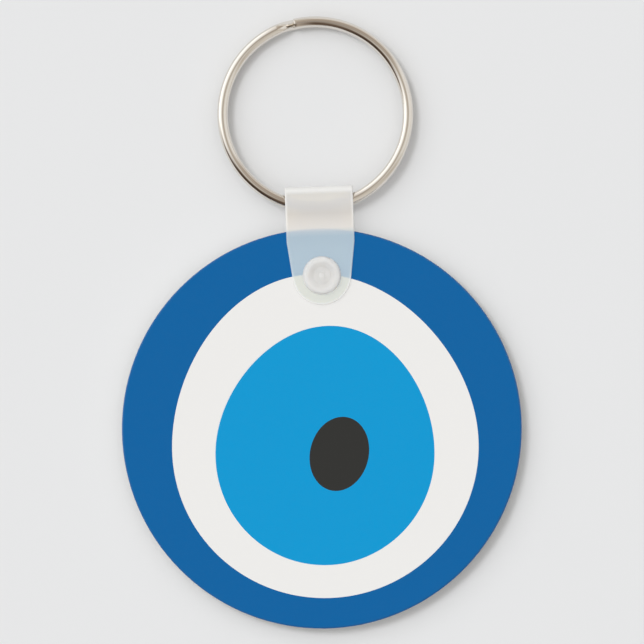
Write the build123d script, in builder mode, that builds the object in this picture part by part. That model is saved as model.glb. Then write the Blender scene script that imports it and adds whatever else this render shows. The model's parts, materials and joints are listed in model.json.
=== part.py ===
from build123d import *
from math import acos, asin, atan2, cos, degrees, hypot, pi, radians, sin, tan
import os

# A keychain: a printed round disc, a milky snap strap through the hole near its edge, and a
# split key ring in the strap's fold. It lies flat, printed face up. Millimetres.
# Frame: origin on the snap's axis, on the surface that the snap's flat lower face rests on.
# +Z is the printed face's normal, +Y runs from the disc towards the key ring, +X is to the right.

# ---- Driving dimensions ----
# Disc
disc_diameter = 57.15  # a standard 2.25 inch round
disc_thickness = 2.3  # with both coats
coat_thickness = 0.12
rim_fillet = 0.2  # the board's eased outer edges
hole_diameter = 4.6
hole_to_centre = 21.9  # from the hole's axis to the disc's centre

# Print, measured from the disc's centre. An oval is given by its four extreme points and by how
# far its curve's handles reach there, level and upright.
white_left = Vector(-21.4, -2.6)
white_right = Vector(22.4, -2.5)
white_top = Vector(-0.6, 22.1)
white_bottom = Vector(0.4, -24.2)
white_level = Vector(12.0, 0)
white_upright = Vector(0, 12.1)
iris_left = Vector(-15.2, -3.6)
iris_right = Vector(16.1, -3.5)
iris_top = Vector(1.2, 14.7)
iris_bottom = Vector(0.4, -19.5)
iris_level = Vector(8.5, 0)
iris_upright = Vector(0, 9.0)
pupil_centre = (2.5, -3.6)
pupil_long_radius = 5.36
pupil_short_radius = 4.19
pupil_tilt = 76.3  # degrees from +X to the long axis

# Strap, along its own centre line from the snap's axis
strap_lean = 2.15  # degrees, counter-clockwise about the snap's axis
strap_thickness = 0.55
strap_width = 9.7
strap_straight_from = 4.8  # the sides are parallel from here to the fold
strap_end_radius = 4.19  # round end, concentric with the snap
strap_edge_fillet = 0.15
fold_reach = 12.75  # from the snap's axis to the outside of the fold
fold_inner_radius = 1.8
leaf_clearance = 0.1  # between a leaf and the disc
leaf_rise_from = 3.4  # the leaves spread from the disc's faces to the fold between these two
leaf_rise_to = 8.2

# Snap stud: a dished cap with a nub, on a hollow post
cap_radius = 2.75
cap_height = 1.15
cap_edge_fillet = 0.5
dish_mouth_radius = 1.95
dish_floor_radius = 1.25
dish_depth = 0.3
dish_fillet = 0.5
nub_radius = 0.4
nub_height = 0.1
nub_fillet = 0.08
post_radius = 2.2
post_fit = 0.05  # round the post, in the strap's holes
post_bore_radius = 1.35  # hollow from its tip
post_roof = 1.05  # solid plastic between the dish and the bore
bore_fillet = 0.3
bead_out = 0.08  # how far the bead at the tip stands out
bead_height = 0.35
bead_fillet = 0.06

# Snap socket: a cup that grips the bead, with a flat lower face
socket_radius = 2.9
socket_height = 0.95
socket_floor = 0.35
socket_edge_fillet = 0.3
tip_gap = 0.05  # from the post's tip to the socket's floor
bead_fit = 0.02  # round the bead
socket_mouth_radius = 2.24  # closes in over the bead

# Key ring
wire_diameter = 1.5
ring_outer_diameter = 28.0
coil_pitch = 1.54  # between the two turns' centre lines
step_angle = 10.0  # the stretch in which the wire steps from one turn to the other
step_at = 106.0  # the middle of that stretch, counter-clockwise from the strap's right
wire_end_fillet = 0.3
ring_to_snap = 9.82  # from the snap's axis to the wire's centre line, with the ring level
ring_shift = -0.085  # sideways in the strap's fold, to the right

# ---- Worked out from them ----
disc_back_z = socket_height + strap_thickness + leaf_clearance
disc_front_z = disc_back_z + disc_thickness
disc_middle_z = disc_back_z + disc_thickness / 2
board_back_z = disc_back_z + coat_thickness
board_front_z = disc_front_z - coat_thickness
front_leaf_top_z = disc_front_z + leaf_clearance + strap_thickness

disc_radius = disc_diameter / 2
hole_radius = hole_diameter / 2
coat_radius = disc_radius - rim_fillet
leaf_offset = disc_thickness / 2 + leaf_clearance  # from the middle plane to a leaf's inner face
fold_axis_y = fold_reach - fold_inner_radius - strap_thickness
solid_reach = 2 * fold_reach  # longer than the strap, for cuts that pass right through it

wire_radius = wire_diameter / 2
coil_radius = ring_outer_diameter / 2 - wire_radius
ring_arm = ring_to_snap + coil_radius - fold_axis_y  # from the fold's axis to the ring's centre

# The ring's far end droops until its lower turn touches the surface.
far_reach = hypot(ring_arm + coil_radius, coil_pitch / 2)
far_rise = asin((coil_pitch / 2) / far_reach)
droop = asin((disc_middle_z - wire_radius) / far_reach) - far_rise

# ---- Planes ----
lean = radians(strap_lean)
up = Vector(0, 0, 1)
across = Vector(cos(lean), sin(lean), 0)
along = Vector(-sin(lean), cos(lean), 0)

strap_plan = Plane(origin=(0, 0, 0), x_dir=across, z_dir=up)
strap_side = Plane(origin=(0, 0, disc_middle_z), x_dir=along, z_dir=across)

fold_centre = along * fold_axis_y + up * disc_middle_z
ring_reach = along * cos(droop) - up * sin(droop)
ring_normal = up * cos(droop) + along * sin(droop)
ring_centre = fold_centre + ring_reach * ring_arm + across * ring_shift


def disc_plane(z):
    """The level plane at height z, centred on the disc."""
    return Plane((0, -hole_to_centre, z))


def cut_hole():
    """Cuts the strap's hole in a sketch on a disc plane."""
    with Locations((0, hole_to_centre)):
        Circle(hole_radius, mode=Mode.SUBTRACT)


# ---- Disc: the board and its coats ----
def oval(left, right, top, bottom, level, upright, mode):
    """A freehand oval: four quarter curves that meet smoothly at its extreme points."""
    with BuildLine() as outline:
        Bezier(right, right + upright, top + level, top)
        Bezier(top, top - level, left + upright, left)
        Bezier(left, left - upright, bottom - level, bottom)
        Bezier(bottom, bottom + level, right - upright, right)
    make_face(outline.edges(), mode=mode)


def white_oval(mode=Mode.ADD):
    oval(white_left, white_right, white_top, white_bottom, white_level, white_upright, mode)


def iris_oval(mode=Mode.ADD):
    oval(iris_left, iris_right, iris_top, iris_bottom, iris_level, iris_upright, mode)


def pupil_ellipse(mode=Mode.ADD):
    with Locations(pupil_centre):
        Ellipse(pupil_long_radius, pupil_short_radius, rotation=pupil_tilt, mode=mode)


with BuildPart() as disc_core:
    with BuildSketch(disc_plane(board_back_z)):
        Circle(disc_radius)
        cut_hole()
    extrude(amount=board_front_z - board_back_z)
    rims = disc_core.edges().filter_by(GeomType.CIRCLE).sort_by(SortBy.RADIUS)[-2:]
    fillet(rims, rim_fillet)
disc_core.part.label = "disc_core"

with BuildPart() as back_coat:
    with BuildSketch(disc_plane(disc_back_z)):
        Circle(coat_radius)
        cut_hole()
    extrude(amount=coat_thickness)
back_coat.part.label = "back_coat"

with BuildPart() as blue_field:
    with BuildSketch(disc_plane(board_front_z)):
        Circle(coat_radius)
        white_oval(Mode.SUBTRACT)
        cut_hole()
    extrude(amount=coat_thickness)
blue_field.part.label = "blue_field"

with BuildPart() as white_field:
    with BuildSketch(disc_plane(board_front_z)):
        white_oval()
        iris_oval(Mode.SUBTRACT)
        cut_hole()
    extrude(amount=coat_thickness)
white_field.part.label = "white_field"

with BuildPart() as iris:
    with BuildSketch(disc_plane(board_front_z)):
        iris_oval()
        pupil_ellipse(Mode.SUBTRACT)
    extrude(amount=coat_thickness)
iris.part.label = "iris"

with BuildPart() as pupil:
    with BuildSketch(disc_plane(board_front_z)):
        pupil_ellipse()
    extrude(amount=coat_thickness)
pupil.part.label = "pupil"


# ---- Strap: one band, folded round the ring, with a hole in each leaf ----
def hairpin(grow, mode=Mode.ADD):
    """The area inside the folded band, grown outwards, as seen from the band's side."""
    leaf = leaf_offset + grow
    fold = fold_inner_radius + grow
    half_way = (leaf_rise_from + leaf_rise_to) / 2
    with BuildLine() as outline:
        Line((-fold_reach, 0), (-fold_reach, leaf))
        Line((-fold_reach, leaf), (leaf_rise_from, leaf))
        Bezier((leaf_rise_from, leaf), (half_way, leaf), (half_way, fold), (leaf_rise_to, fold))
        Line((leaf_rise_to, fold), (fold_axis_y, fold))
        CenterArc((fold_axis_y, 0), fold, 90, -90)
        mirror(about=Plane.XZ)
    make_face(outline.edges(), mode=mode)


shoulder = Vector(strap_width / 2, strap_straight_from)
taper_end_angle = atan2(shoulder.Y, shoulder.X) - acos(strap_end_radius / shoulder.length)

with BuildPart() as strap_band:
    with BuildSketch(strap_side):
        hairpin(strap_thickness)
        hairpin(0, Mode.SUBTRACT)
    extrude(amount=strap_width, both=True)
    with BuildSketch(strap_plan):
        with BuildLine():
            round_end = CenterArc((0, 0), strap_end_radius, -90, 90 + degrees(taper_end_angle))
            taper = Line(round_end @ 1, shoulder)
            side = Line(taper @ 1, (shoulder.X, solid_reach))
            Line(side @ 1, (0, solid_reach))
            mirror(about=Plane.YZ)
        make_face()
    extrude(amount=solid_reach, both=True, mode=Mode.INTERSECT)
    fillet(strap_band.edges(), strap_edge_fillet)
    with BuildSketch(strap_plan):
        Circle(post_radius + post_fit)
    extrude(amount=solid_reach, both=True, mode=Mode.SUBTRACT)
strap_band.part.label = "strap_band"


# ---- Snap: the stud's post passes both leaves and the disc into the socket ----
def turned(*corners):
    """Half the section of a turned piece. A corner is its radius, height and rounding."""
    points = [(radius, height) for radius, height, rounding in corners]
    roundings = [rounding for radius, height, rounding in corners]
    with BuildSketch(Plane.XZ) as section:
        with BuildLine():
            FilletPolyline(points, radius=roundings, close=True)
        make_face()
    return section.sketch


cap_top_z = front_leaf_top_z + cap_height
dish_z = cap_top_z - dish_depth
tip_z = socket_floor + tip_gap
bead_radius = post_radius + bead_out

with BuildPart() as snap_stud:
    half_section = turned(
        (0, dish_z + nub_height, 0),
        (nub_radius, dish_z + nub_height, nub_fillet),
        (nub_radius, dish_z, 0),
        (dish_floor_radius, dish_z, dish_fillet),
        (dish_mouth_radius, cap_top_z, dish_fillet),
        (cap_radius, cap_top_z, cap_edge_fillet),
        (cap_radius, front_leaf_top_z, 0),
        (post_radius, front_leaf_top_z, 0),
        (post_radius, tip_z + bead_height, 0),
        (bead_radius, tip_z + bead_height - bead_out, bead_fillet),
        (bead_radius, tip_z, bead_fillet),
        (post_bore_radius, tip_z, 0),
        (post_bore_radius, dish_z - post_roof, bore_fillet),
        (0, dish_z - post_roof, 0),
    )
    revolve(half_section, axis=Axis.Z)
snap_stud.part.label = "snap_stud"

groove_radius = bead_radius + bead_fit
groove_top_z = tip_z + bead_height + bead_fit

with BuildPart() as snap_socket:
    half_section = turned(
        (0, 0, 0),
        (socket_radius, 0, socket_edge_fillet),
        (socket_radius, socket_height, 0),
        (socket_mouth_radius, socket_height, 0),
        (socket_mouth_radius, groove_top_z, 0),
        (groove_radius, groove_top_z - bead_out, 0),
        (groove_radius, socket_floor, 0),
        (0, socket_floor, 0),
    )
    revolve(half_section, axis=Axis.Z)
snap_socket.part.label = "snap_socket"


# ---- Key ring: one round wire, two turns with a step between them ----
def on_coil(angle, height):
    """The point of the wire's centre line at an angle round the ring, a height off its plane."""
    outward = across * cos(radians(angle)) + ring_reach * sin(radians(angle))
    return ring_centre + outward * coil_radius + ring_normal * height


def tangent_at(angle):
    return ring_reach * cos(radians(angle)) - across * sin(radians(angle))


def wire_section(place, direction):
    """The wire's round section at a place on its centre line, square to its direction."""
    with BuildSketch(Plane(origin=place, x_dir=ring_normal, z_dir=direction)) as section:
        Circle(wire_radius)
    return section.sketch


turn_start = step_at + step_angle / 2
turn_end = turn_start - step_angle  # one turn on, less the step
turn_angle = 360 - step_angle
ring_axis = Axis(tuple(ring_centre), tuple(ring_normal))
upper = coil_pitch / 2
lower = -coil_pitch / 2
# Handles of this length make the step follow the coil's round.
step_handle = 4 / 3 * tan(radians(step_angle) / 4) * coil_radius

with BuildPart() as split_ring:
    for height in (upper, lower):
        section = wire_section(on_coil(turn_start, height), tangent_at(turn_start))
        revolve(section, axis=ring_axis, revolution_arc=turn_angle)
    with BuildLine() as step_path:
        Bezier(
            on_coil(turn_end, lower),
            on_coil(turn_end, lower) + tangent_at(turn_end) * step_handle,
            on_coil(turn_start, upper) - tangent_at(turn_start) * step_handle,
            on_coil(turn_start, upper),
        )
    section = wire_section(on_coil(turn_end, lower), tangent_at(turn_end))
    sweep(section, path=step_path.wire())
    wire_ends = split_ring.faces().filter_by(GeomType.PLANE)
    fillet(wire_ends.edges(), wire_end_fillet)
split_ring.part.label = "split_ring"

os.makedirs("parts", exist_ok=True)
export_step(disc_core.part, "parts/disc_core.step")
export_step(back_coat.part, "parts/back_coat.step")
export_step(blue_field.part, "parts/blue_field.step")
export_step(white_field.part, "parts/white_field.step")
export_step(iris.part, "parts/iris.step")
export_step(pupil.part, "parts/pupil.step")
export_step(strap_band.part, "parts/strap_band.step")
export_step(snap_stud.part, "parts/snap_stud.step")
export_step(snap_socket.part, "parts/snap_socket.step")
export_step(split_ring.part, "parts/split_ring.step")

wire_length = 2 * radians(turn_angle) * coil_radius + step_path.wire().length
print("wire length", round(wire_length, 1), "mm; wire volume", round(wire_length * pi * wire_radius**2, 1))
print("ring volume", round(split_ring.part.volume, 1), "mm3; droop", round(degrees(droop), 3), "degrees")
print("fold axis", fold_centre, "across", across)
print("ring centre", ring_centre, "normal", ring_normal)
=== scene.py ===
import json
from math import acos, atan2, ceil, cos, degrees, pi, radians, sin, tan

import bmesh
import bpy
from mathutils import Matrix, Vector

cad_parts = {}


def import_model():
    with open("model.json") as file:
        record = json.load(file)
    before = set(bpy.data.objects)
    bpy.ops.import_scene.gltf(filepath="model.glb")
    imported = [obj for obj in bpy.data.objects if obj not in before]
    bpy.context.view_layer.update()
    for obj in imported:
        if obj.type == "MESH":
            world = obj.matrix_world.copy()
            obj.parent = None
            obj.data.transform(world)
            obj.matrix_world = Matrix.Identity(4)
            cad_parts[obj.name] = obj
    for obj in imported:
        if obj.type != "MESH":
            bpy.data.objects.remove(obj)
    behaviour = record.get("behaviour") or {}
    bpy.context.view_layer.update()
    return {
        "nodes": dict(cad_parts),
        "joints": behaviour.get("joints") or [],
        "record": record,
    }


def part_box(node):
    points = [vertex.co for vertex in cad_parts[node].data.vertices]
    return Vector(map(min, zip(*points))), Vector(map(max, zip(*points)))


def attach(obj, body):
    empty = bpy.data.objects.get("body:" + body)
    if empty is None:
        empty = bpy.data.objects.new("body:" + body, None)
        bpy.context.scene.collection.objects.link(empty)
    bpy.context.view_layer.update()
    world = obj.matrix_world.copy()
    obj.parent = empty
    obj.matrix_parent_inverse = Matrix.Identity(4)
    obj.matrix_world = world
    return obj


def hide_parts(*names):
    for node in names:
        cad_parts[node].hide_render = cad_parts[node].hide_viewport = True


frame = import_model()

# An evil eye keychain that lies on a pale floor, seen from straight above.
# Metres, in the frame of the CAD model: +Z out of the print, +Y from the disc to the key ring.

mm = 0.001
sharp_from = 40  # degrees between faces; smaller angles are shaded smooth

# ---- Places, from the frame ----
joints = {joint["name"]: joint for joint in frame["joints"]}
mounts = {mount["name"]: mount for mount in frame["record"]["mounts"]}

up = Vector((0, 0, 1))
across = Vector(joints["ring_swing"]["axis"])
along = up.cross(across)
fold_centre = Vector(joints["ring_swing"]["pos_m"])
ring_centre = Vector(mounts["key_ring"]["pos_m"])
ring_normal = Vector(mounts["key_ring"]["axis"])
ring_reach = ring_normal.cross(across)

disc_front_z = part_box("blue_field")[1].z
board_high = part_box("disc_core")[1]
strap_low, strap_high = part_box("strap_band")
stud_low, stud_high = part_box("snap_stud")
socket_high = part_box("snap_socket")[1]

# ---- Sizes that the boxes don't give ----
strap_thickness = 0.55 * mm
strap_half_width = 4.85 * mm
strap_straight_from = 4.8 * mm
strap_end_radius = 4.19 * mm
strap_hole_radius = 2.25 * mm
strap_edge_round = 0.15 * mm
leaf_rise_from = 3.4 * mm
leaf_rise_to = 8.2 * mm
leaf_clearance = 0.1 * mm

wire_radius = 0.75 * mm
coil_radius = 13.25 * mm
coil_pitch = 1.54 * mm
step_start = 101.0  # degrees round the ring from the strap's right, where the wire leaves one turn
step_angle = 10.0
wire_end_round = 0.12 * mm

dish_mouth_radius = 1.95 * mm
dish_floor_radius = 1.25 * mm
dish_depth = 0.3 * mm
cap_round = 0.5 * mm  # at the cap's edge and at the dish's
nub_top_radius = 0.3 * mm
nub_foot_radius = 0.5 * mm
nub_height = 0.1 * mm
nub_round = 0.15 * mm
cap_roof = 1.05 * mm  # from the dish's floor down to the post's bore
post_radius = 2.2 * mm
bore_radius = 1.35 * mm
bore_round = 0.3 * mm
bead_radius = 2.28 * mm
bead_height = 0.35 * mm
bead_slope = 0.08 * mm
bead_round = 0.06 * mm

socket_round = 0.3 * mm
socket_floor = 0.35 * mm
throat_radius = 2.24 * mm
groove_radius = 2.3 * mm
bead_play = 0.02 * mm

strap_plan_z = fold_centre.z
fold_outer_radius = (strap_high.z - strap_low.z) / 2
fold_inner_radius = fold_outer_radius - strap_thickness
fold_axis_reach = fold_centre.xy.length
leaf_offset = disc_front_z + leaf_clearance - strap_plan_z
front_leaf_top_z = disc_front_z + leaf_clearance + strap_thickness


# ---- Meshes ----
def add_piece(name, points, faces, material, body, node):
    """A mesh that rides on a body in a CAD node's place."""
    mesh = bpy.data.meshes.new(name)
    mesh.from_pydata(points, [], faces)
    mesh.validate()
    shell = bmesh.new()
    shell.from_mesh(mesh)
    bmesh.ops.recalc_face_normals(shell, faces=shell.faces)
    shell.to_mesh(mesh)
    shell.free()
    mesh.shade_smooth()
    mesh.set_sharp_from_angle(angle=radians(sharp_from))
    mesh.materials.append(material)
    piece = bpy.data.objects.new(name, mesh)
    bpy.context.scene.collection.objects.link(piece)
    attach(piece, body)
    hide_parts(node)
    return piece


def add_values(piece, name, values):
    """One number for each point of a piece, for its material to read."""
    layer = piece.data.attributes.new(name, "FLOAT", "POINT")
    layer.data.foreach_set("value", values)


def add_vectors(piece, name, vectors):
    """One vector for each point of a piece, for its material to read."""
    layer = piece.data.attributes.new(name, "FLOAT_VECTOR", "POINT")
    layer.data.foreach_set("vector", [number for vector in vectors for number in vector])


def smooth_step(value, low, high):
    """0 below low, 1 above high, and an easy curve between."""
    share = min(max((value - low) / (high - low), 0), 1)
    return share * share * (3 - 2 * share)


def rounded(corners, steps=6):
    """The points of an outline whose corners, each (x, y, radius), are rounded by arcs."""
    points = []
    for index, (x, y, radius) in enumerate(corners):
        corner = Vector((x, y))
        if radius == 0:
            points.append(corner)
            continue
        back = (Vector(corners[index - 1][:2]) - corner).normalized()
        ahead = (Vector(corners[(index + 1) % len(corners)][:2]) - corner).normalized()
        half = back.angle(ahead) / 2
        middle = (back + ahead).normalized()
        centre = corner + middle * radius / sin(half)
        reach = radius / tan(half)
        first = corner + back * reach - centre
        last = corner + ahead * reach - centre
        sweep = first.angle_signed(last)
        for step in range(steps + 1):
            points.append(centre + Matrix.Rotation(-sweep * step / steps, 2) @ first)
    return points


def turned(profile, segments=96):
    """Points and faces of an outline from axis to axis, turned about the snap's axis."""
    points = []
    faces = []
    starts = []
    for radius, height in profile:
        starts.append(len(points))
        if radius < 1e-9:
            points.append(Vector((0, 0, height)))
            continue
        for step in range(segments):
            angle = 2 * pi * step / segments
            points.append(Vector((radius * cos(angle), radius * sin(angle), height)))
    ends = starts[1:] + [len(points)]
    for this, that, end in zip(starts, starts[1:], ends[1:]):
        for step in range(segments):
            after = (step + 1) % segments
            if that - this == 1:
                faces.append((this, that + after, that + step))
            elif end - that == 1:
                faces.append((this + step, this + after, that))
            else:
                faces.append((this + step, this + after, that + after, that + step))
    return points, faces


# ---- Materials ----
class Shader:
    """A material's node tree, with short ways to add to it."""

    def __init__(self, name):
        self.material = bpy.data.materials.new(name)
        self.material.use_nodes = True
        self.tree = self.material.node_tree
        self.surface = self.tree.nodes["Principled BSDF"]
        self.output = self.tree.nodes["Material Output"]

    def node(self, kind, inputs=(), **settings):
        made = self.tree.nodes.new(kind)
        for key, value in settings.items():
            setattr(made, key, value)
        for key, value in dict(inputs).items():
            if isinstance(value, bpy.types.NodeSocket):
                self.tree.links.new(value, made.inputs[key])
            else:
                made.inputs[key].default_value = value
        return made

    def set(self, **values):
        """Sets or links sockets of the Principled shader; an underscore stands for a space."""
        for key, value in values.items():
            socket = self.surface.inputs[key.replace("_", " ")]
            if isinstance(value, bpy.types.NodeSocket):
                self.tree.links.new(value, socket)
            else:
                socket.default_value = value

    def place(self, scale=(1, 1, 1)):
        """The place on the object in millimetres, times scale."""
        coordinates = self.node("ShaderNodeTexCoord").outputs["Object"]
        factors = [factor / mm for factor in scale]
        return self.node("ShaderNodeMapping", {"Vector": coordinates, "Scale": factors}).outputs[0]

    def attribute(self, name, output="Fac"):
        return self.node("ShaderNodeAttribute", attribute_name=name).outputs[output]

    def noise(self, vector, scale, detail=2.0, roughness=0.5):
        inputs = {"Vector": vector, "Scale": scale, "Detail": detail, "Roughness": roughness}
        return self.node("ShaderNodeTexNoise", inputs).outputs["Fac"]

    def to_range(self, value, low, high, new_low, new_high, smooth=False):
        inputs = {"Value": value, "From Min": low, "From Max": high}
        inputs.update({"To Min": new_low, "To Max": new_high})
        kind = "SMOOTHSTEP" if smooth else "LINEAR"
        return self.node("ShaderNodeMapRange", inputs, interpolation_type=kind).outputs[0]

    def math(self, operation, first, second=0.0):
        return self.node("ShaderNodeMath", {0: first, 1: second}, operation=operation).outputs[0]

    def mix(self, factor, first, second):
        """A colour between two colours."""
        made = self.node("ShaderNodeMix", data_type="RGBA")
        for key, value in ((0, factor), (6, first), (7, second)):
            if isinstance(value, bpy.types.NodeSocket):
                self.tree.links.new(value, made.inputs[key])
            else:
                made.inputs[key].default_value = value
        return made.outputs[2]

    def bump(self, height, distance, strength=1.0):
        inputs = {"Height": height, "Distance": distance, "Strength": strength}
        return self.node("ShaderNodeBump", inputs).outputs[0]

    def lighting_rays(self):
        """1 for a ray that carries light to or from what is under or round the piece."""
        path = self.node("ShaderNodeLightPath").outputs
        return self.math("MAXIMUM", path["Is Shadow Ray"], path["Is Diffuse Ray"])

    def let_through(self, opacity, tint=(1, 1, 1, 1)):
        """What the surface's opacity leaves goes straight through it, tinted."""
        clear = self.node("ShaderNodeBsdfTransparent", {"Color": tint})
        inputs = {0: opacity, 1: clear.outputs[0], 2: self.surface.outputs[0]}
        blend = self.node("ShaderNodeMixShader", inputs)
        self.tree.links.new(blend.outputs[0], self.output.inputs["Surface"])


def shade(colour, factor):
    """A colour, made lighter or darker, as a socket takes it."""
    return tuple(min(channel * factor, 1) for channel in colour) + (1,)


dark_blue = (0.001, 0.125, 0.369)
off_white = (0.861, 0.853, 0.836)
light_blue = (0.001, 0.322, 0.665)
charcoal = (0.033, 0.033, 0.031)


def gloss_print(name, colour, speckle=0.03):
    """Dye under a clear gloss coat: fine dye speckle, faint clouding and a slight orange peel."""
    made = Shader(name)
    place = made.place()
    dots = made.noise(place, 7.0, 3.0)
    clouds = made.noise(place, 0.12, 2.0)
    amount = made.math("ADD", made.math("MULTIPLY", dots, 0.7), made.math("MULTIPLY", clouds, 0.3))
    tone = made.mix(amount, shade(colour, 1 - speckle), shade(colour, 1 + speckle))
    roughness = made.to_range(made.noise(place, 1.5, 3.0), 0.3, 0.7, 0.16, 0.24)
    peel = made.noise(place, 0.9, 2.0)
    made.set(Base_Color=tone, Roughness=roughness, Normal=made.bump(peel, 0.012 * mm))
    made.set(Coat_Weight=0.1, Coat_Roughness=0.08, Specular_IOR_Level=0.14)
    return made.material


def board_edge():
    """White fibre board: layers and short fibres on its cut edge, with dye down its front edge."""
    made = Shader("board_edge")
    place = made.place()
    layers = made.noise(made.place((0.35, 0.35, 9.0)), 1.0, 3.0)
    specks = made.noise(made.place((2.5, 2.5, 6.0)), 1.0, 4.0, 0.7)
    fibres = made.to_range(specks, 0.62, 0.72, 0.0, 0.5, smooth=True)
    white = made.mix(layers, (0.74, 0.72, 0.67, 1), (0.86, 0.85, 0.82, 1))
    flecked = made.mix(fibres, white, (0.6, 0.57, 0.5, 1))
    height = made.node("ShaderNodeSeparateXYZ", {0: place}).outputs[2]
    front = board_high.z / mm
    bleed = made.to_range(made.noise(place, 2.2, 3.0), 0.3, 0.7, -0.05, 0.05)
    ragged = made.math("ADD", height, bleed)
    dyed = made.to_range(ragged, front - 0.42, front - 0.2, 0.0, 1.0, smooth=True)
    made.set(Base_Color=made.mix(dyed, flecked, shade(dark_blue, 1)))
    made.set(Roughness=made.to_range(dyed, 0.0, 1.0, 0.55, 0.25))
    grain = made.math("ADD", layers, specks)
    made.set(Normal=made.bump(grain, 0.02 * mm, 0.6))
    return made.material


def back_gloss():
    """The plain back coat: clouded off-white under a gloss with fine scuffs one way."""
    made = Shader("back_gloss")
    place = made.place()
    tone = made.mix(made.noise(place, 0.2, 3.0), shade(off_white, 0.97), shade(off_white, 1.0))
    scuffs = made.noise(made.place((0.3, 4.0, 1.0)), 1.0, 4.0, 0.6)
    made.set(Base_Color=tone, Roughness=made.to_range(scuffs, 0.35, 0.7, 0.18, 0.34))
    made.set(Normal=made.bump(made.noise(place, 0.9, 2.0), 0.012 * mm))
    made.set(Coat_Weight=0.3, Coat_Roughness=0.1)
    return made.material


def milky_strap():
    """Thin milky plastic: a sheet lets a part of the light through, less where it is thick or bent.

    What lies right under it shows through, and what lies further behind is blurred out of sight,
    which more milk stands for. Milk turns back more blue than red, so what shows through is warm.
    """
    made = Shader("milky_strap")
    place = made.place()
    cloud = made.noise(place, 0.35, 3.0)
    spread = made.attribute("spread")
    # rim: a painted glow, whiter along the cut edge and round the fold; also read as thickness for
    # opacity.
    rim = made.attribute("rim")
    close = made.mix(cloud, (0.705, 0.845, 1.0, 1), (0.735, 0.875, 1.0, 1))
    near = made.mix(cloud, (0.83, 0.835, 0.865, 1), (0.86, 0.865, 0.895, 1))
    # Painted shade: the milk is darker where the leaves part, for the shade falling between and
    # under them.
    apart = made.mix(cloud, (0.72, 0.71, 0.71, 1), (0.75, 0.74, 0.74, 1))
    # Painted glow: the milk is lighter again towards the fold and lightest round its end.
    folded_glow = made.mix(cloud, (0.78, 0.785, 0.79, 1), (0.81, 0.815, 0.82, 1))
    fold_end_glow = (0.88, 0.9, 0.91, 1)
    painted_glow_white = (0.95, 0.95, 0.94, 1)
    stages = ((near, 0.0, 0.3), (apart, 0.3, 1.0), (folded_glow, 1.0, 1.5), (fold_end_glow, 1.85, 2.15))
    milk = close
    for colour, first, last in stages:
        milk = made.mix(made.to_range(spread, first, last, 0.0, 1.0), milk, colour)
    # The cut edge and the fold are mixed towards white as a painted glow.
    made.set(Base_Color=made.mix(rim, milk, painted_glow_white))
    made.set(Roughness=made.to_range(made.noise(place, 2.0, 3.0), 0.3, 0.7, 0.28, 0.4))
    made.set(Normal=made.bump(made.noise(place, 0.5, 2.0), 0.03 * mm, 0.5), IOR=1.45)

    opacity_close, opacity_near, opacity_thick = 0.63, 0.8, 0.97
    milkiness = made.to_range(spread, 0.0, 0.3, opacity_close, opacity_near)
    edge_on = made.node("ShaderNodeLayerWeight", {"Blend": 0.5}).outputs["Facing"]
    thick = made.math("MAXIMUM", rim, made.to_range(edge_on, 0.3, 0.9, 0.0, 0.7, smooth=True))
    more = made.math("MULTIPLY", made.math("SUBTRACT", opacity_thick, milkiness), thick)
    opacity = made.math("ADD", milkiness, more)
    # Each sheet counts once, at the side that a ray comes in by.
    inside = made.node("ShaderNodeNewGeometry").outputs["Backfacing"]
    opacity = made.math("MULTIPLY", opacity, made.math("SUBTRACT", 1.0, inside))
    # Light on its way to what is under the plastic is mostly scattered on through it, not stopped.
    shadow_share = 0.25
    passing = made.lighting_rays()
    weaker = made.to_range(passing, 0.0, 1.0, 1.0, shadow_share)
    opacity = made.math("MULTIPLY", opacity, weaker)
    warm = (1.0, 0.77, 0.3, 1)
    tint = made.mix(made.math("MAXIMUM", passing, inside), warm, (1, 1, 1, 1))
    made.let_through(opacity, tint)
    return made.material


def milky_snap():
    """The same plastic, thick enough to look nearly solid."""
    made = Shader("milky_snap")
    place = made.place()
    cloud = made.noise(place, 0.6, 3.0)
    made.set(Base_Color=made.mix(cloud, (0.735, 0.725, 0.705, 1), (0.765, 0.755, 0.735, 1)))
    made.set(Roughness=made.to_range(made.noise(place, 2.4, 3.0), 0.3, 0.7, 0.3, 0.42))
    made.set(Normal=made.bump(made.noise(place, 1.2, 2.0), 0.02 * mm, 0.5), IOR=1.45)
    made.set(Subsurface_Weight=1.0, Subsurface_Scale=1.8 * mm, Subsurface_Radius=(1.0, 0.95, 0.9))
    # Most of the light comes through to what is under it, so it casts only a faint shadow.
    shadow_share = 0.15
    made.let_through(made.to_range(made.lighting_rays(), 0.0, 1.0, 1.0, shadow_share))
    return made.material


def nickel_wire():
    """Bright warm nickel plate with the faint lengthwise lines of drawn wire."""
    made = Shader("nickel_wire")
    grain = made.attribute("grain", "Vector")
    lines = made.noise(grain, 1.0, 3.0, 0.6)
    cloud = made.noise(made.place(), 0.4, 2.0)
    tone = made.mix(cloud, (0.78, 0.735, 0.675, 1), (0.82, 0.78, 0.72, 1))
    made.set(Metallic=1.0, Base_Color=tone)
    made.set(Roughness=made.to_range(lines, 0.3, 0.7, 0.05, 0.11))
    made.set(Normal=made.bump(lines, 0.003 * mm, 0.5))
    return made.material


def carry_over(node, material):
    """Gives a CAD node a material in every slot."""
    for material_slot in frame["nodes"][node].material_slots:
        material_slot.material = material


# ---- Disc ----
carry_over("disc_core", board_edge())
carry_over("back_coat", back_gloss())
carry_over("blue_field", gloss_print("print_dark_blue", dark_blue))
carry_over("white_field", gloss_print("print_off_white", off_white, 0.008))
carry_over("iris", gloss_print("print_light_blue", light_blue))
carry_over("pupil", gloss_print("print_charcoal", charcoal, 0.05))


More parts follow.
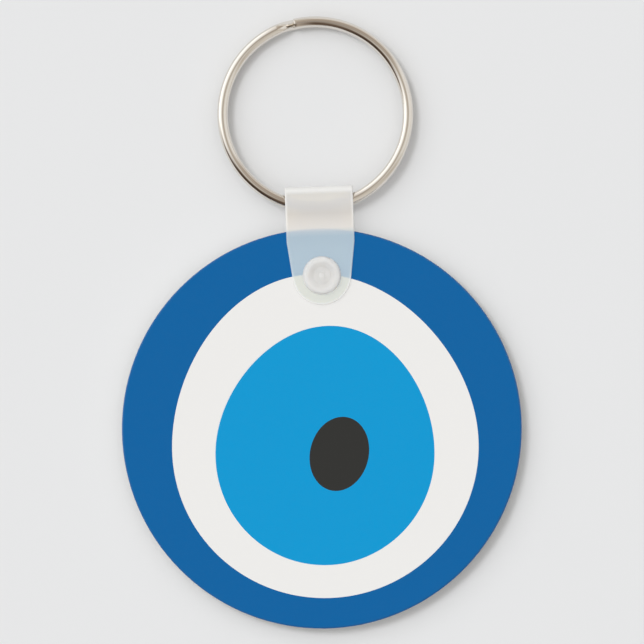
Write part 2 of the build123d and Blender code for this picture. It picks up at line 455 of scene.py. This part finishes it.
# ---- Strap ----
# The strap is laid out flat: y runs from the front leaf's snap at 0, over the fold, to the back
# leaf's snap, and x across. Its half towards the fold is bent round into place last.
fold_arc = pi * (fold_outer_radius + fold_inner_radius) / 2
back_snap_reach = 2 * fold_axis_reach + fold_arc
polar_reach = 5.6 * mm  # each round end is meshed round its hole as far as this
cross_cells = 20
edge_cell = 0.026  # the first and last cell's share of the width
fold_cells = 28
leaf_cells = 8
ring_shares = (0.0, 0.25, 0.5, 0.75, 0.88, 1.0)
crease_half_width = 1.75 * mm  # the plastic is painted whiter this far each way from the fold's end: a painted glow of light through the bend, with some stress whitening
crease_soft = 0.35 * mm
spread_from = 5.9 * mm  # the leaves are parted from here to here, counted from the snap
spread_to = 8.9 * mm
# The cut edge is painted lighter, a painted glow standing in for light coming through the plastic's
# rounded edge.
edge_glow_least = 0.15
edge_glow_apart = 0.8
face_edge_share = 0.5  # how much painted edge glow a leaf's face gets at its edge, next to the cut edge itself
edge_end_half = 1.5 * mm  # the painted edge glow spreads this far each way from the snap's level
edge_apart_from = 6.2 * mm
edge_apart_to = 7.6 * mm


def strap_outline():
    """Points round a strap end, from its right at polar_reach, round the end, to the left."""
    shoulder = Vector((strap_half_width, strap_straight_from))
    bend = atan2(shoulder.y, shoulder.x) - acos(strap_end_radius / shoulder.length)
    tip = Vector((strap_end_radius * cos(bend), strap_end_radius * sin(bend)))
    taper_steps = 6
    arc_steps = 36
    right = [Vector((strap_half_width, polar_reach)), shoulder]
    for step in range(1, taper_steps):
        right.append(shoulder.lerp(tip, step / taper_steps))
    for step in range(arc_steps):
        angle = bend - (pi / 2 + bend) * step / arc_steps
        right.append(Vector((strap_end_radius * cos(angle), strap_end_radius * sin(angle))))
    bottom = Vector((0, -strap_end_radius))
    left = [Vector((-point.x, point.y)) for point in reversed(right)]
    return right + [bottom] + left


def leaf_height(reach):
    """How far a leaf's inner face is from the middle plane, at a distance from the snap."""
    rise = smooth_step(reach, leaf_rise_from, leaf_rise_to)
    return leaf_offset + (fold_inner_radius - leaf_offset) * rise


def bend_strap(x, y, outward):
    """The place of a flat strap's point; outward is from its inner face, 0 to strap_thickness."""
    if y < fold_axis_reach:
        reach = y
        height = leaf_height(y) + outward
    elif y > fold_axis_reach + fold_arc:
        reach = back_snap_reach - y
        height = -leaf_height(reach) - outward
    else:
        angle = pi / 2 - pi * (y - fold_axis_reach) / fold_arc
        radius = fold_inner_radius + outward
        reach = fold_axis_reach + radius * cos(angle)
        height = radius * sin(angle)
    return across * x + along * reach + up * (strap_plan_z + height)


def painted_edge_glow(y):
    """Painted edge glow: how light the cut edge is painted, most of all round the ends and where
    the leaves are apart.
    """
    reach = min(y, back_snap_reach - y)
    at_end = smooth_step(-reach, -edge_end_half, edge_end_half)
    apart = edge_glow_apart * smooth_step(reach, edge_apart_from, edge_apart_to)
    return edge_glow_least + (1 - edge_glow_least) * max(at_end, apart)


class FlatStrap:
    """The strap's flat layout: points (x, y), quads, its outer edge and its holes' edges."""

    def __init__(self):
        self.points = []
        self.quads = []
        self.rim = []
        self.holes = []

    def add(self, x, y):
        self.points.append((x, y))
        return len(self.points) - 1


def inset(line, amount):
    """Moves each point of a line to its right by amount."""
    moved = []
    for index, point in enumerate(line):
        before = line[max(index - 1, 0)]
        after = line[min(index + 1, len(line) - 1)]
        direction = (after - before).normalized()
        moved.append(point + Vector((direction.y, -direction.x)) * amount)
    return moved


def strap_section_profile():
    """The edge's rounding: (share of the inset taken, height through the thickness)."""
    steps = 5
    profile = []
    for step in range(steps + 1):
        angle = pi / 2 * step / steps
        profile.append((1 - sin(angle), strap_thickness - strap_edge_round * (1 - cos(angle))))
    for step in range(steps, -1, -1):
        angle = pi / 2 * step / steps
        profile.append((1 - sin(angle), strap_edge_round * (1 - cos(angle))))
    return profile


def build_strap():
    """Lays out one face of the flat strap: rings round each hole and rows between the ends."""
    front = inset(strap_outline(), strap_edge_round)
    flat = FlatStrap()

    # Each round end: rings of quads between the hole and the outline, the last side being the
    # straight line across the strap at polar_reach.
    line = []
    right_end = front[0]
    left_end = front[-1]
    for step in range(1, cross_cells):
        share = edge_cell + (1 - 2 * edge_cell) * (step - 1) / (cross_cells - 2)
        line.append(left_end.lerp(right_end, share))
    loop = front + line
    angles = [atan2(point.y, point.x) for point in loop]
    ends = {}
    for side in (0, 1):
        rows = []
        for share in ring_shares:
            row = []
            for point, angle in zip(loop, angles):
                start = Vector((cos(angle), sin(angle))) * strap_hole_radius
                place = start.lerp(point, share)
                y = place.y if side == 0 else back_snap_reach - place.y
                row.append(flat.add(place.x, y))
            rows.append(row)
        count = len(loop)
        for inner, outer in zip(rows, rows[1:]):
            for index in range(count):
                after = (index + 1) % count
                quad = (inner[index], outer[index], outer[after], inner[after])
                flat.quads.append(quad if side == 0 else quad[::-1])
        ends[side] = rows[-1]
        flat.holes.append(rows[0] if side == 0 else rows[0][::-1])

    # The band between the two ends.
    first_line = [ends[0][len(front) - 1]] + ends[0][len(front):] + [ends[0][0]]
    last_line = [ends[1][len(front) - 1]] + ends[1][len(front):] + [ends[1][0]]
    leaf_length = fold_axis_reach - polar_reach
    back_leaf_from = back_snap_reach - fold_axis_reach
    stations = []
    for step in range(1, leaf_cells + 1):
        stations.append(polar_reach + leaf_length * step / leaf_cells)
    for step in range(1, fold_cells + 1):
        stations.append(fold_axis_reach + fold_arc * step / fold_cells)
    for step in range(1, leaf_cells):
        stations.append(back_leaf_from + leaf_length * step / leaf_cells)
    lines = [first_line]
    for station in stations:
        row = []
        for index in first_line:
            row.append(flat.add(flat.points[index][0], station))
        lines.append(row)
    lines.append(last_line)
    for near, far in zip(lines, lines[1:]):
        for index in range(cross_cells):
            flat.quads.append((near[index], near[index + 1], far[index + 1], far[index]))

    # The outer edge, once round: down the right of the front end, round it, up the left side
    # over the fold, round the back end and home along the right side.
    flat.rim = ends[0][: len(front)]
    flat.rim += [row[0] for row in lines[1:-1]]
    flat.rim += ends[1][: len(front)][::-1]
    flat.rim += [row[-1] for row in lines[1:-1]][::-1]
    return flat


def strap_piece(material):
    """Both faces of the strap and its rounded edge, bent round into the fold."""
    flat = build_strap()
    points = []
    painted_glow = []
    spread = []

    def put(x, y, outward, white):
        """Adds a point, painted white as a glow at least as said, and fully white along the fold's
        end.

        Its spread grows from 0 as the leaves part.
        """
        points.append(bend_strap(x, y, outward))
        from_fold = abs(y - back_snap_reach / 2)
        crease_from = crease_half_width - crease_soft
        crease_to = crease_half_width + crease_soft
        painted_glow.append(max(white, 1 - smooth_step(from_fold, crease_from, crease_to)))
        reach = fold_axis_reach + fold_arc / 2 - from_fold
        spread.append(max((reach - spread_from) / (spread_to - spread_from), 0))
        return len(points) - 1

    outer = [put(x, y, strap_thickness, 0) for x, y in flat.points]
    inner = [put(x, y, 0, 0) for x, y in flat.points]
    faces = [tuple(outer[index] for index in quad) for quad in flat.quads]
    faces += [tuple(inner[index] for index in reversed(quad)) for quad in flat.quads]

    rim = [Vector(flat.points[index]) for index in flat.rim]
    count = len(rim)
    outward_way = []
    for index in range(count):
        direction = (rim[(index + 1) % count] - rim[index - 1]).normalized()
        outward_way.append(Vector((-direction.y, direction.x)))
    loops = [[outer[index] for index in flat.rim]]
    for share, height in strap_section_profile()[1:-1]:
        row = []
        for point, way in zip(rim, outward_way):
            place = point + way * strap_edge_round * (1 - share)
            row.append(put(place.x, place.y, height, painted_edge_glow(place.y)))
        loops.append(row)
    loops.append([inner[index] for index in flat.rim])
    for upper, lower in zip(loops, loops[1:]):
        for index in range(count):
            after = (index + 1) % count
            faces.append((upper[index], upper[after], lower[after], lower[index]))
    for hole in flat.holes:
        size = len(hole)
        for index in range(size):
            this = hole[index]
            that = hole[(index + 1) % size]
            faces.append((outer[that], outer[this], inner[this], inner[that]))
    # Each face next to the cut edge gets a share of the painted edge glow.
    for index in flat.rim:
        for side in (outer, inner):
            edge = face_edge_share * painted_edge_glow(flat.points[index][1])
            painted_glow[side[index]] = max(painted_glow[side[index]], edge)
    piece = add_piece("milky_strap_band", points, faces, material, "strap", "strap_band")
    # The rim attribute carries the painted glow of the cut edge and the fold; the material also
    # reads it as thickness.
    add_values(piece, "rim", painted_glow)
    add_values(piece, "spread", spread)


strap_piece(milky_strap())


# ---- Snap ----
def snap_pieces(material):
    """The dished cap with its hollow post and bead, and the socket that the bead sits in."""
    cap_radius = (stud_high.x - stud_low.x) / 2
    cap_top = stud_high.z
    tip = stud_low.z
    dish = cap_top - dish_depth
    nub_top = dish + nub_height
    bead_top = tip + bead_height
    stud = rounded([
        (0, nub_top, 0),
        (nub_top_radius, nub_top, nub_round),
        (nub_foot_radius, dish, nub_round),
        (dish_floor_radius, dish, cap_round),
        (dish_mouth_radius, cap_top, cap_round),
        (cap_radius, cap_top, cap_round),
        (cap_radius, front_leaf_top_z, 0),
        (post_radius, front_leaf_top_z, 0),
        (post_radius, bead_top, 0),
        (bead_radius, bead_top - bead_slope, bead_round),
        (bead_radius, tip, bead_round),
        (bore_radius, tip, 0),
        (bore_radius, dish - cap_roof, bore_round),
        (0, dish - cap_roof, 0),
    ])
    points, faces = turned(stud)
    add_piece("snap_cap_and_post", points, faces, material, "strap", "snap_stud")

    socket_radius = socket_high.x
    socket_top = socket_high.z
    throat_low = bead_top + bead_play
    socket = rounded([
        (0, 0, 0),
        (socket_radius, 0, socket_round),
        (socket_radius, socket_top, 0),
        (throat_radius, socket_top, 0),
        (throat_radius, throat_low, 0),
        (groove_radius, throat_low - bead_slope, 0),
        (groove_radius, socket_floor, 0),
        (0, socket_floor, 0),
    ])
    points, faces = turned(socket)
    faces = [face[::-1] for face in faces]
    add_piece("snap_back_socket", points, faces, material, "strap", "snap_socket")


snap_pieces(milky_snap())


# ---- Key ring ----
def ring_piece(material):
    """One wire: a turn, a step up on to it, and a second turn on top, with rounded ends."""
    turn = 360 - step_angle
    whole = 2 * turn + step_angle
    round_angle = degrees(wire_end_round / coil_radius)
    around = 40
    end_steps = 6
    cell_angle = 1.4  # degrees between the wire's sections, at most
    grain_along = 0.03  # the drawn lines change slowly along the wire and fast round it
    grain_round = 5

    def height(angle):
        """Off the ring's plane, at an angle along the wire from its lower end."""
        return coil_pitch * (smooth_step(angle, turn, turn + step_angle) - 0.5)

    def middle(angle):
        """The middle of the wire at an angle along it."""
        turned_by = radians(step_start + step_angle + angle)
        outward = across * cos(turned_by) + ring_reach * sin(turned_by)
        return ring_centre + outward * coil_radius + ring_normal * height(angle)

    stations = []
    for step in range(end_steps):
        quarter = pi / 2 * step / end_steps
        stations.append((round_angle * (1 - cos(quarter)), sin(quarter)))
    inner_steps = ceil((whole - 2 * round_angle) / cell_angle)
    for step in range(inner_steps + 1):
        stations.append((round_angle + (whole - 2 * round_angle) * step / inner_steps, 1.0))
    stations += [(whole - angle, depth) for angle, depth in reversed(stations[:end_steps])]

    points = []
    grain = []
    faces = []
    for angle, depth in stations:
        centre = middle(angle)
        tangent = (middle(angle + 0.1) - middle(angle - 0.1)).normalized()
        side = tangent.cross(ring_normal).normalized()
        lift = side.cross(tangent)
        radius = wire_radius - wire_end_round * (1 - depth)
        length = radians(angle) * coil_radius / mm
        for step in range(around):
            phase = 2 * pi * step / around
            points.append(centre + (side * cos(phase) + lift * sin(phase)) * radius)
            at_side = cos(phase) * grain_round
            at_top = sin(phase) * grain_round
            grain.append((length * grain_along, at_side, at_top))
    for row in range(len(stations) - 1):
        for step in range(around):
            after = (step + 1) % around
            here = row * around
            there = here + around
            faces.append((here + step, here + after, there + after, there + step))
    faces.append(tuple(range(around))[::-1])
    last = (len(stations) - 1) * around
    faces.append(tuple(range(last, last + around)))
    piece = add_piece("nickel_ring_wire", points, faces, material, "ring", "split_ring")
    add_vectors(piece, "grain", grain)


ring_piece(nickel_wire())


# ---- Floor, light and camera ----
def floor():
    """A wide pale sheet that the keychain lies on."""
    mesh = bpy.data.meshes.new("studio_floor")
    half = 1.5
    corners = [(-half, -half, 0), (half, -half, 0), (half, half, 0), (-half, half, 0)]
    mesh.from_pydata(corners, [], [(0, 1, 2, 3)])
    made = Shader("pale_floor")
    cloud = made.noise(made.place(), 0.02, 2.0)
    made.set(Base_Color=made.mix(cloud, (0.795, 0.8, 0.805, 1), (0.805, 0.81, 0.815, 1)))
    made.set(Roughness=0.9, Specular_IOR_Level=0.0)
    mesh.materials.append(made.material)
    piece = bpy.data.objects.new("studio_floor", mesh)
    bpy.context.scene.collection.objects.link(piece)


# What the ring mirrors: how bright the studio is at each azimuth, clockwise from +Y in degrees, at
# three heights. The lamp's screens are on the left and the dark room is at the lower left.
low_studio = (
    (0, 0.80), (28, 0.72), (48, 0.72), (60, 0.90), (78, 0.87), (105, 0.78),
    (120, 0.62), (148, 0.76), (166, 0.60), (181, 0.20), (196, 0.13), (212, 0.05),
    (240, 0.08), (252, 0.16), (263, 0.80), (273, 1.5), (328, 1.45), (344, 0.6),
)
middle_studio = (
    (0, 0.46), (30, 0.40), (46, 0.44), (58, 0.86), (75, 0.93), (105, 0.86), (120, 0.56),
    (137, 0.69), (152, 0.73), (166, 0.46), (179, 0.09), (197, 0.13), (226, 0.07),
    (241, 0.14), (257, 1.0), (270, 1.45), (300, 1.25), (332, 1.05), (345, 0.57),
)
high_studio = (
    (0, 0.38), (30, 0.51), (60, 0.56), (90, 0.68), (105, 0.79), (135, 0.58),
    (150, 0.64), (165, 0.45), (180, 0.20), (197, 0.34), (225, 0.53), (255, 0.74),
    (270, 0.76), (300, 0.68), (330, 0.62), (345, 0.48),
)
overhead = (0.34, 0.32, 0.30)
# Degrees from straight up over which one height turns into the next.
overhead_to_high = (3, 9)
high_to_middle = (15, 42)
middle_to_low = (50, 68)

# What lights the dull surfaces: an even sky, stronger from above and from the lamps' side.
ambient = (0.68, 0.674, 0.668)
ambient_low = 0.4
ambient_rise = 1.2
ambient_lean = 0.35
camera_sky = (0.8, 0.805, 0.81)
lamp_azimuth = 308
lamp_colour = (0.985, 1.0, 1.015)


def studio_colour(brightness):
    """Warm where it is dark, neutral where it is bright."""
    dimness = 1 - min(brightness, 1)
    green = brightness * (1 - 0.35 * dimness**1.6)
    blue = brightness * (1 - 0.54 * dimness**1.2)
    return (brightness, green, blue)


def world():
    """The ring mirrors the studio, dull surfaces get the soft sky and the camera a pale wall."""
    studio = bpy.data.worlds.new("studio")
    studio.use_nodes = True
    bpy.context.scene.world = studio
    tree = studio.node_tree
    nodes = tree.nodes
    links = tree.links

    def math(operation, first, second=0.0):
        made = nodes.new("ShaderNodeMath")
        made.operation = operation
        for socket, value in zip(made.inputs, (first, second)):
            if isinstance(value, bpy.types.NodeSocket):
                links.new(value, socket)
            else:
                socket.default_value = value
        return made.outputs[0]

    def step(value, low_and_high):
        made = nodes.new("ShaderNodeMapRange")
        made.interpolation_type = "SMOOTHSTEP"
        links.new(value, made.inputs["Value"])
        low, high = low_and_high
        made.inputs["From Min"].default_value = radians(low)
        made.inputs["From Max"].default_value = radians(high)
        return made.outputs[0]

    def mix(factor, first, second):
        made = nodes.new("ShaderNodeMix")
        made.data_type = "RGBA"
        for index, value in ((0, factor), (6, first), (7, second)):
            if isinstance(value, bpy.types.NodeSocket):
                links.new(value, made.inputs[index])
            else:
                made.inputs[index].default_value = (*value, 1)
        return made.outputs[2]

    def by_azimuth(azimuth, stops):
        made = nodes.new("ShaderNodeValToRGB")
        ramp = made.color_ramp
        while len(ramp.elements) < len(stops) + 1:
            ramp.elements.new(1.0)
        for element, (angle, brightness) in zip(ramp.elements, stops + ((360, stops[0][1]),)):
            element.position = angle / 360
            element.color = (*studio_colour(brightness), 1)
        links.new(azimuth, made.inputs[0])
        return made.outputs[0]

    way = nodes.new("ShaderNodeTexCoord").outputs["Generated"]
    split = nodes.new("ShaderNodeSeparateXYZ")
    links.new(way, split.inputs[0])
    x, y, z = split.outputs
    clockwise = math("ARCTAN2", x, y)
    azimuth = math("FRACT", math("ADD", math("DIVIDE", clockwise, 2 * pi), 1.0))
    zenith_angle = math("ARCCOSINE", z)
    low = by_azimuth(azimuth, low_studio)
    middle = by_azimuth(azimuth, middle_studio)
    high = by_azimuth(azimuth, high_studio)
    sides = mix(step(zenith_angle, middle_to_low), middle, low)
    dome = mix(step(zenith_angle, high_to_middle), high, sides)
    dome = mix(step(zenith_angle, overhead_to_high), overhead, dome)

    path = nodes.new("ShaderNodeLightPath")
    towards_lamps = math("MULTIPLY", x, sin(radians(lamp_azimuth)))
    towards_lamps = math("ADD", towards_lamps, math("MULTIPLY", y, cos(radians(lamp_azimuth))))
    sky = nodes.new("ShaderNodeVectorMath")
    sky.operation = "SCALE"
    sky.inputs[0].default_value = ambient
    leaning = math("ADD", 1.0, math("MULTIPLY", towards_lamps, ambient_lean))
    height = math("MULTIPLY", math("POWER", z, 2.0), ambient_rise)
    from_above = math("ADD", ambient_low, height)
    links.new(math("MULTIPLY", leaning, from_above), sky.inputs["Scale"])
    seen = mix(path.outputs["Is Glossy Ray"], sky.outputs[0], dome)
    seen = mix(path.outputs["Is Camera Ray"], seen, camera_sky)
    background = nodes["Background"]
    links.new(seen, background.inputs["Color"])


def sun_lamp(name, energy, angle, elevation):
    """A soft far lamp; angle is how wide it looks, and all angles are in degrees."""
    lamp = bpy.data.lights.new(name, "SUN")
    lamp.energy = energy
    lamp.angle = radians(angle)
    lamp.color = lamp_colour
    piece = bpy.data.objects.new(name, lamp)
    azimuth = radians(lamp_azimuth)
    level = cos(radians(elevation))
    height = sin(radians(elevation))
    towards = Vector((sin(azimuth) * level, cos(azimuth) * level, height))
    piece.rotation_mode = "QUATERNION"
    piece.rotation_quaternion = towards.to_track_quat("Z", "Y")
    piece.location = towards
    piece.visible_glossy = False
    bpy.context.scene.collection.objects.link(piece)


def lamps():
    """Two soft lamps to the upper left, whose shadows fall to the lower right."""
    sun_lamp("key_light", energy=0.71, angle=13, elevation=70)
    sun_lamp("broad_light", energy=0.40, angle=50, elevation=58)


def camera():
    """Straight above with a long lens, so that there is hardly any perspective."""
    view_width = 92.0 * mm
    view_middle = Vector((0.02 * mm, -6.66 * mm, disc_front_z))
    lens = bpy.data.cameras.new("overhead_camera")
    lens.lens = 600
    lens.sensor_width = 36
    piece = bpy.data.objects.new("overhead_camera", lens)
    piece.location = view_middle + up * view_width * lens.lens / lens.sensor_width
    lens.clip_start = 0.01
    lens.clip_end = 10
    bpy.context.scene.collection.objects.link(piece)
    bpy.context.scene.camera = piece


floor()
world()
lamps()
camera()
bpy.context.scene.view_settings.view_transform = "Standard"
